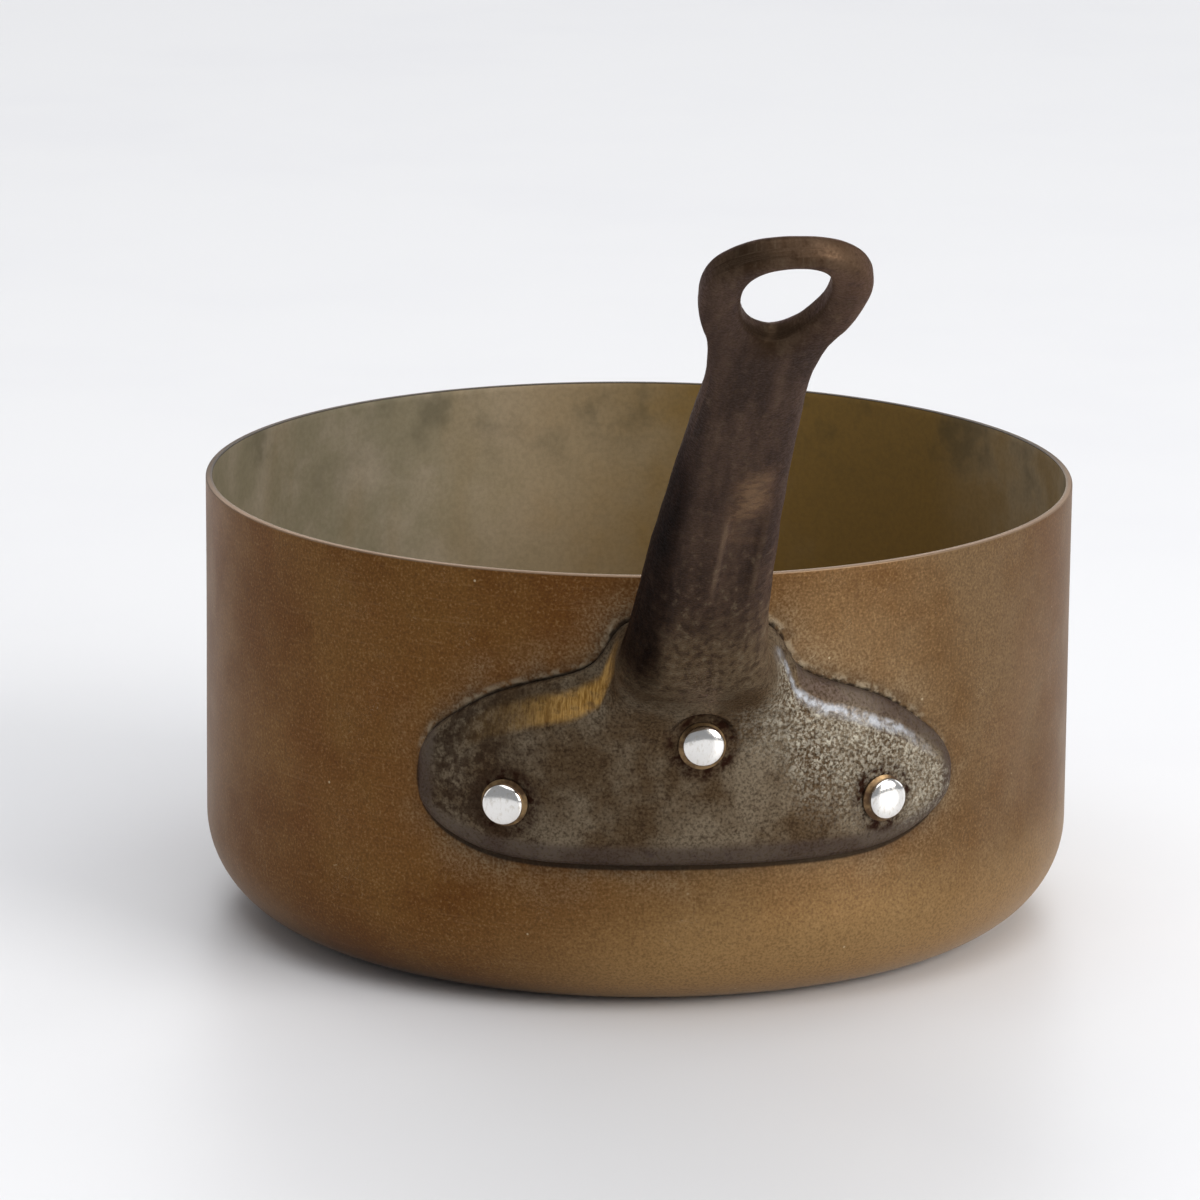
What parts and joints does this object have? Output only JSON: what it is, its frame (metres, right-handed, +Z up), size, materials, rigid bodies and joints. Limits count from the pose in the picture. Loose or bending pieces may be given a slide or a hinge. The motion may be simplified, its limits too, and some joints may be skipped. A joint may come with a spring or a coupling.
{
  "type": "saucepan",
  "caption": "Small straight-sided copper saucepan, lined inside, with a long cast-iron handle riveted on at its flange and pierced by a teardrop hanging eye.",
  "frame": {"origin": "centre of the pan's flat underside, on the surface that it stands on", "axes": "+Z up along the pan's axis; the flange's middle is at -Y, and the handle points to -Y and up"},
  "size_m": [0.16, 0.3401, 0.1763],
  "materials": {
    "copper": "tarnished copper, satin, warm brown with fine grain and small scratches",
    "lining": "worn matt lining, mottled grey and olive",
    "cast_iron": "fine-pitted casting, worn grey-brown, filed along its bevels",
    "rivet_metal": "rivet tails worn bright, on tan feet"
  },
  "bodies": {
    "root": {"pan_body": "copper", "pan_lining": "lining", "handle": "cast_iron", "rivet_left": "rivet_metal", "rivet_top": "rivet_metal", "rivet_right": "rivet_metal"}
  },
  "joints": []
}
